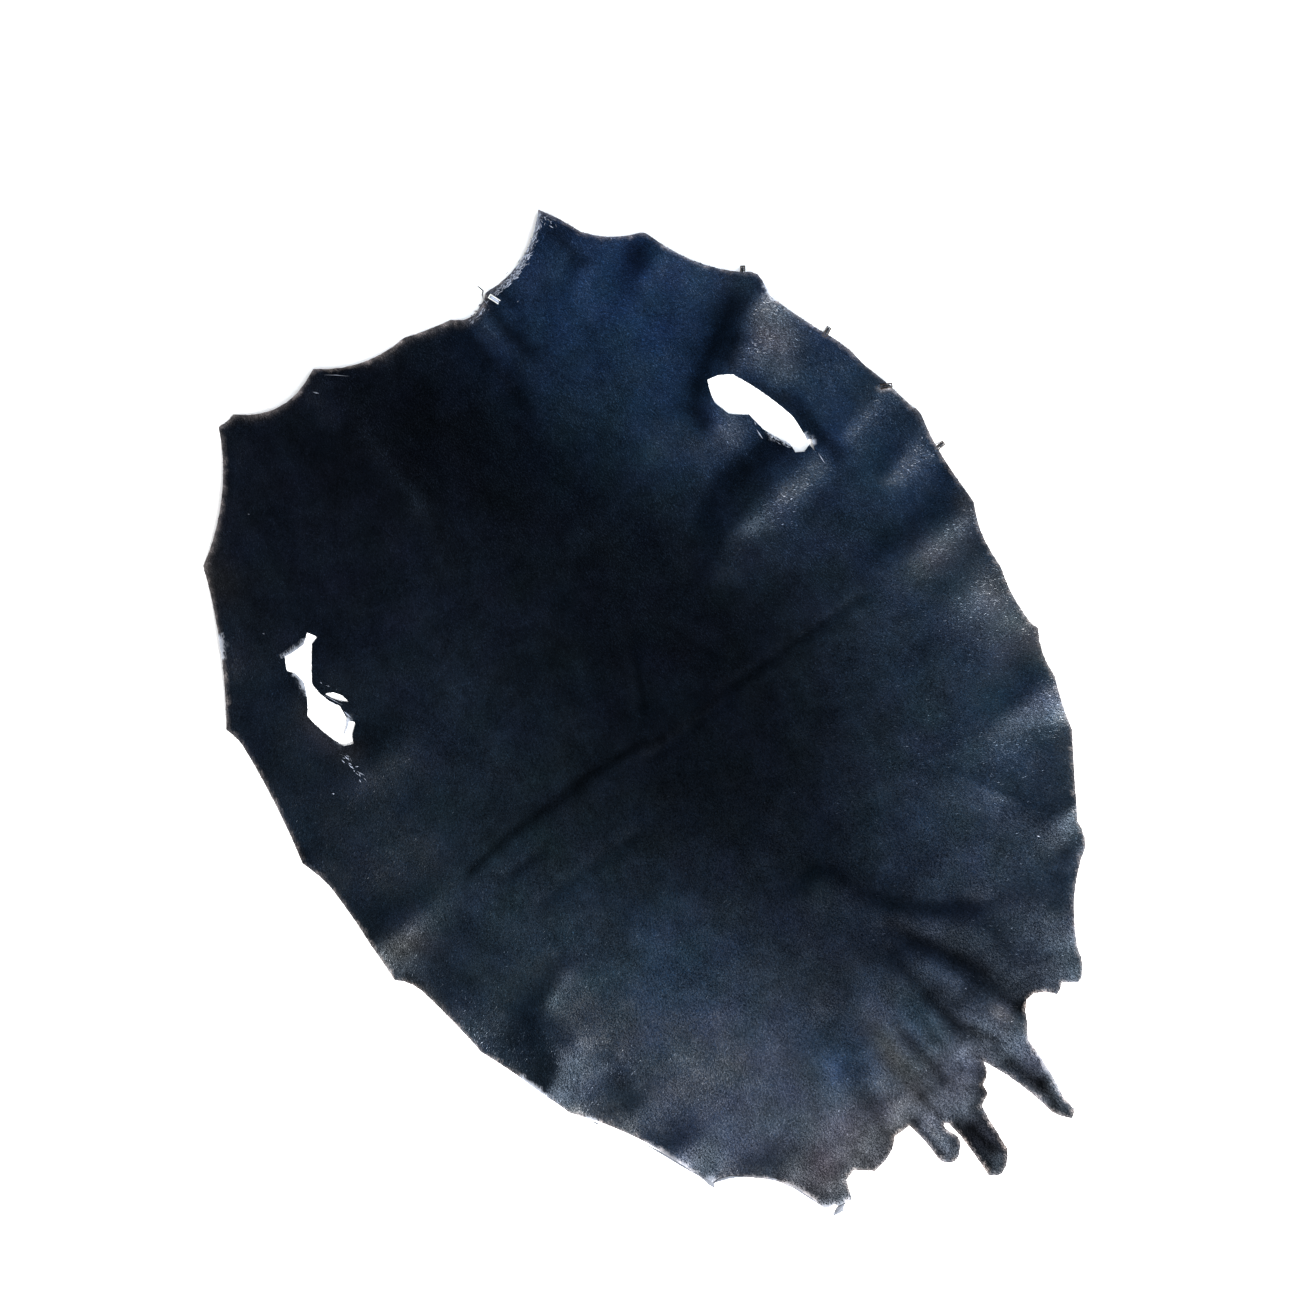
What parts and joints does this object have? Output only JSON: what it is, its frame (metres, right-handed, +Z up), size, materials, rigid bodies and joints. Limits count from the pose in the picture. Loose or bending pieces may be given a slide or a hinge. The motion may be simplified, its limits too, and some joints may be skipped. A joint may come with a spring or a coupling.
{
  "type": "sealskin",
  "caption": "Dressed sealskin laid open with its hair side up: short dark hair on pale leather, scalloped rim, open fore-flipper holes and hind-flipper lobes at the tail end.",
  "frame": {"origin": "on the surface the skin lies on, under the middle of its box", "axes": "+Y along the spine to the head end, +X to the animal's right flank, +Z up out of the hair"},
  "size_m": [0.8042, 1.121, 0.0172],
  "materials": {
    "sealskin": "short glossy dark hair lying towards the tail, pale blue-grey flesh side at the cut rim",
    "staple_wire": "zinc-coated flat wire"
  },
  "bodies": {
    "root": {"pelt": "sealskin", "staple_1": "staple_wire", "staple_2": "staple_wire", "staple_3": "staple_wire", "staple_4": "staple_wire", "staple_5": "staple_wire"}
  },
  "joints": []
}
